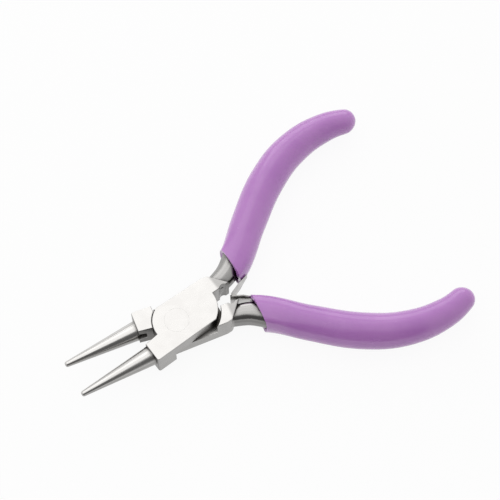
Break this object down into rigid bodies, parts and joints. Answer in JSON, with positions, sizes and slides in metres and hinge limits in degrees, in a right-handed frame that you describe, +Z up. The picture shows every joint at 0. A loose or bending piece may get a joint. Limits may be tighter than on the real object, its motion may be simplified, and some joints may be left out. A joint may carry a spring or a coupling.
{
  "type": "round nose pliers",
  "caption": "Small spring-open round nose pliers with a riveted lap joint, two tapered round jaws and bowed handles in dipped soft sleeves.",
  "frame": {"origin": "on the pivot axis, on the underside of the joint", "axes": "+X along the centre line to the jaw tips, +Y across to the moving handle, +Z up along the pivot axis"},
  "size_m": [0.1136, 0.0794, 0.0108],
  "materials": {
    "forged_steel": "satin polished",
    "rivet_steel": "satin polished",
    "spring_steel": "bright spring strip",
    "sleeve_vinyl": "glossy dipped vinyl"
  },
  "bodies": {
    "fixed_handle": {"fixed_half": "forged_steel", "pivot_rivet": "rivet_steel", "return_spring": "spring_steel", "fixed_sleeve": "sleeve_vinyl"},
    "moving_handle": {"moving_half": "forged_steel", "moving_sleeve": "sleeve_vinyl"}
  },
  "joints": [
    {"name": "squeeze", "type": "hinge", "parent": "fixed_handle", "child": "moving_handle", "pos_m": [0, 0, 0.0044], "axis": [0, 0, 1], "range_deg": [0, 14.5], "stiffness_Nm_per_rad": 0.6, "springref_deg": -2.86, "deforming": ["return_spring"]}
  ]
}
